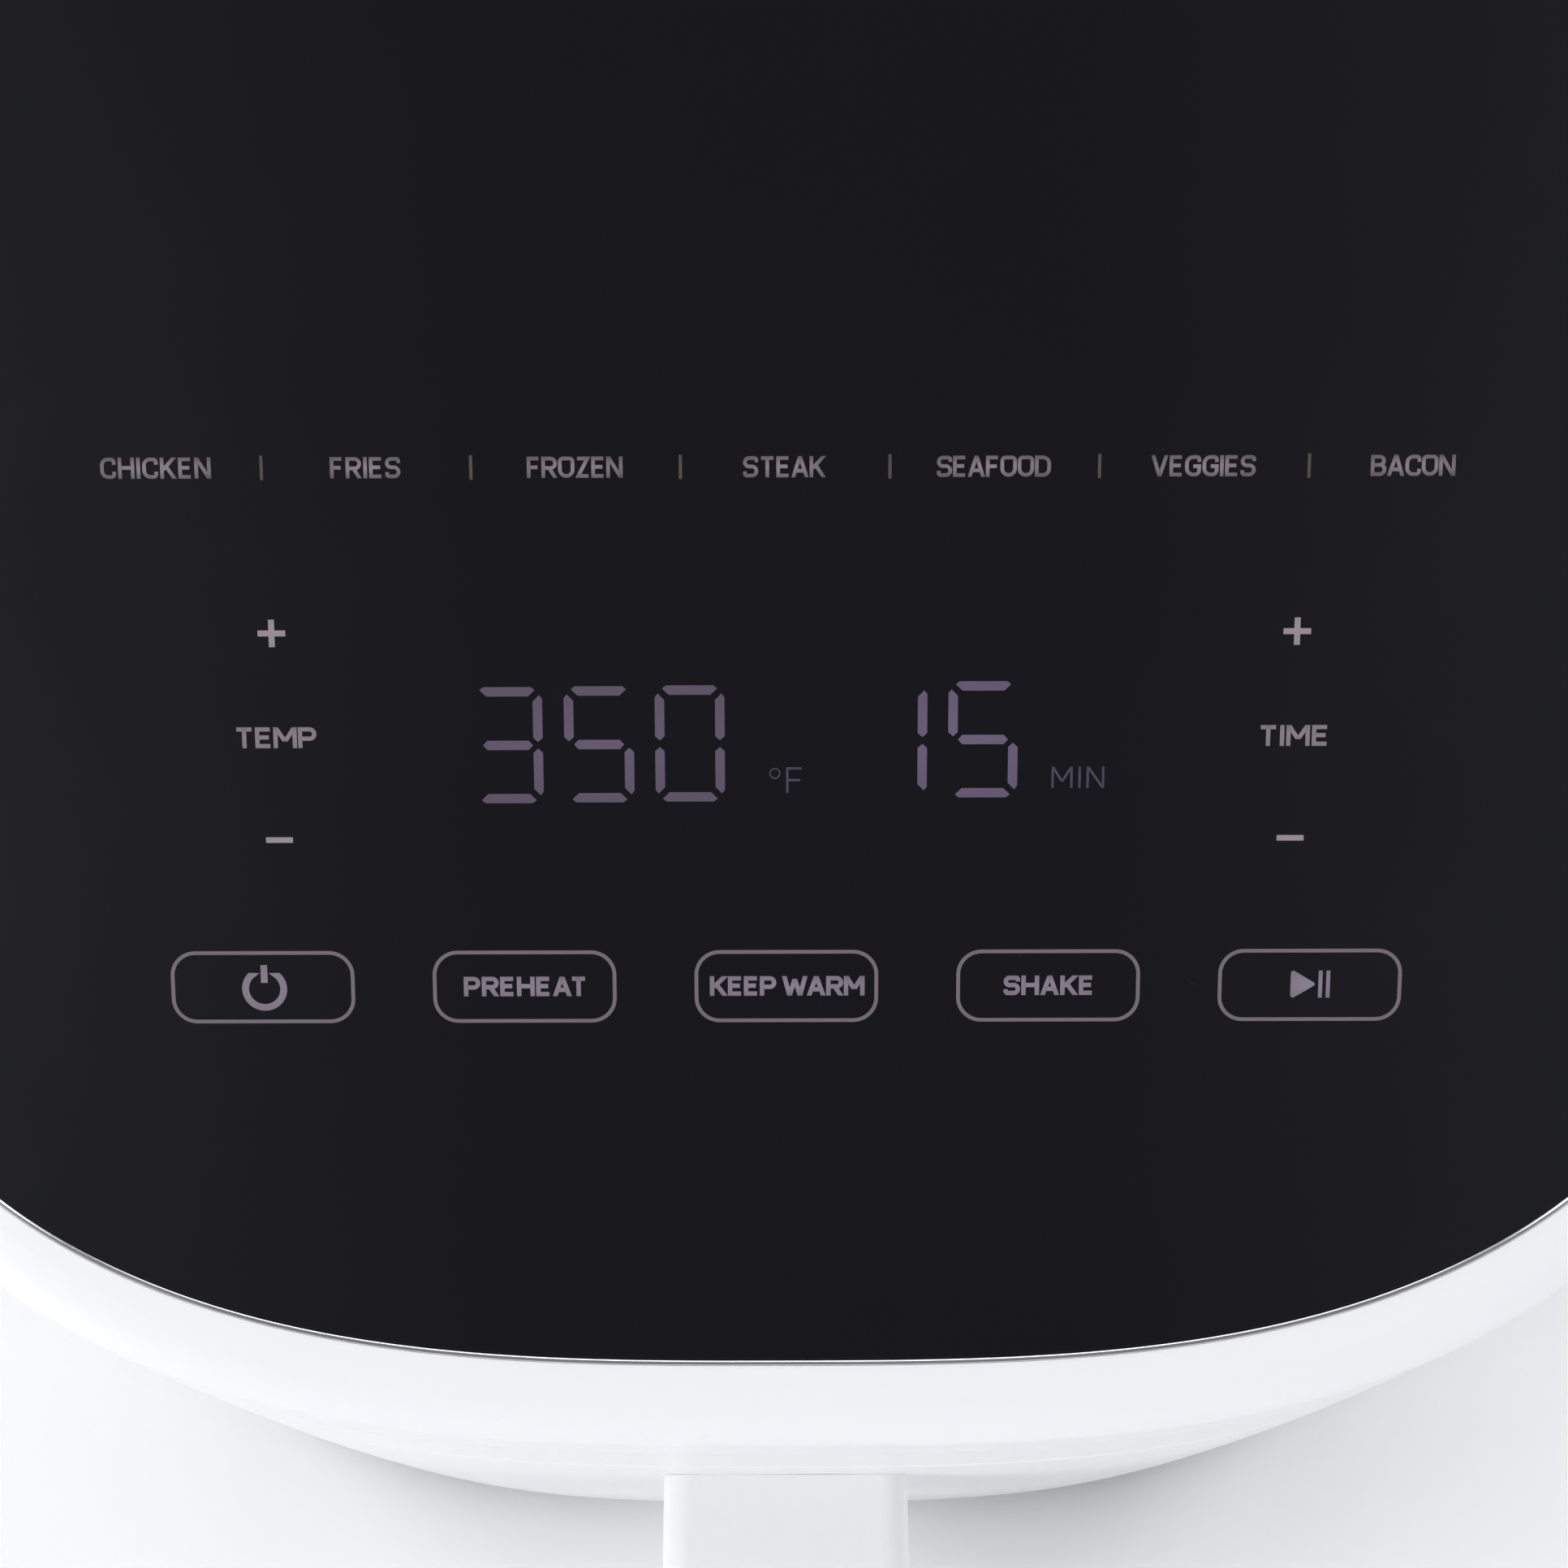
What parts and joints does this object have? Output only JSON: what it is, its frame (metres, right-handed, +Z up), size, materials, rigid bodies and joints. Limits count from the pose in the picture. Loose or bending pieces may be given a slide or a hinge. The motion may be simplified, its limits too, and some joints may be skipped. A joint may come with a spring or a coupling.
{
  "type": "air fryer",
  "caption": "Basket air fryer with a rounded white body, a sloped oval-cornered black touch panel in a thin bright rim, a pull-out drawer with handle, fan and element.",
  "frame": {"origin": "centre of the bounding box in plan, on the plane under the rubber feet", "axes": "+Z up; -Y towards the drawer's handle and the low edge of the touch panel; +X to the right of somebody who faces the panel"},
  "size_m": [0.27, 0.296, 0.306],
  "materials": {
    "white_shell": "satin white moulding",
    "white_front": "satin white moulding",
    "white_vent": "satin white moulding",
    "white_handle": "fine-grained white moulding",
    "grey_base": "moulded",
    "screw_steel": "zinc plated",
    "black_gland": "moulded",
    "black_glass": "black-backed satin touch glass",
    "bright_rim": "satin chrome",
    "pad_foam": "conductive foam",
    "display": "diffuser block",
    "green_board": "circuit board",
    "inner_plastic": "moulded",
    "dark_plastic": "heat-proof moulding",
    "chamber_steel": "aluminised sheet",
    "shield_steel": "galvanised sheet",
    "element_sheath": "heat-darkened sheath",
    "ceramic": "ceramic",
    "guard_wire": "plated wire",
    "sensor_steel": "bright",
    "red_plunger": "moulded",
    "bearing_steel": "ground steel",
    "lamination": "laminated core",
    "copper_coil": "enamelled copper wire under tape",
    "impeller_steel": "stamped",
    "components": "component cases",
    "lead_sheath": "flexible sheath",
    "glass_sleeve": "braided glass sleeve",
    "coated_steel": "non-stick coating",
    "coated_plate": "non-stick coating",
    "silicone": "silicone",
    "brushed_strip": "brushed",
    "foot_rubber": "moulded"
  },
  "bodies": {
    "housing": {"main_housing": "white_shell", "top_cover": "white_shell", "rear_grille": "white_vent", "base_plate": "grey_base", "base_screws": "screw_steel", "cord_gland": "black_gland", "touch_glass": "black_glass", "panel_rim": "bright_rim", "touch_pads": "pad_foam", "display_module": "display", "control_board": "green_board", "panel_carrier": "inner_plastic", "chamber": "chamber_steel", "chamber_top": "chamber_steel", "heat_shield": "shield_steel", "exhaust_duct": "shield_steel", "bay_frame": "dark_plastic", "drawer_rail_left": "chamber_steel", "drawer_rail_right": "chamber_steel", "heating_element": "element_sheath", "element_bushings": "ceramic", "element_guard": "guard_wire", "temperature_sensor": "sensor_steel", "thermal_cutout": "ceramic", "drawer_switch": "inner_plastic", "motor_plate": "shield_steel", "lower_bearing_bridge": "shield_steel", "upper_bearing_bridge": "shield_steel", "lower_bearing": "bearing_steel", "upper_bearing": "bearing_steel", "motor_stator": "lamination", "motor_coil": "copper_coil", "power_board": "green_board", "power_components": "components", "power_board_screws": "screw_steel", "mains_lead": "lead_sheath", "element_lead_a": "glass_sleeve", "element_lead_b": "glass_sleeve", "foot_front_left": "foot_rubber", "foot_front_right": "foot_rubber", "foot_rear_left": "foot_rubber", "foot_rear_right": "foot_rubber"},
    "drawer": {"drawer_front": "white_front", "drawer_bulkhead": "dark_plastic", "basket_tub": "coated_steel", "tub_screws": "screw_steel", "tub_nuts": "screw_steel", "handle_body": "white_handle", "handle_cover": "white_handle", "handle_strip": "brushed_strip", "handle_screws": "screw_steel"},
    "crisper": {"crisper_plate": "coated_plate", "crisper_bumpers": "silicone"},
    "fan_rotor": {"motor_rotor": "lamination", "fan_shaft": "bearing_steel", "fan_nut": "bearing_steel", "impeller": "impeller_steel", "cooling_fan": "inner_plastic"},
    "switch_pin": {"switch_plunger": "red_plunger"}
  },
  "joints": [
    {"name": "drawer_slide", "type": "slide", "parent": "housing", "child": "drawer", "axis": [0, -1, 0], "range_m": [0, 0.215]},
    {"name": "crisper_lift", "type": "slide", "parent": "drawer", "child": "crisper", "axis": [0, 0, 1], "range_m": [0, 0.095]},
    {"name": "fan_spin", "type": "hinge", "parent": "housing", "child": "fan_rotor", "pos_m": [0, 0.017, 0.18], "axis": [0, 0, 1], "continuous": true},
    {"name": "drawer_switch_press", "type": "slide", "parent": "housing", "child": "switch_pin", "axis": [0, 1, 0], "range_m": [0, 0.0025], "stiffness_N_per_m": 300}
  ]
}
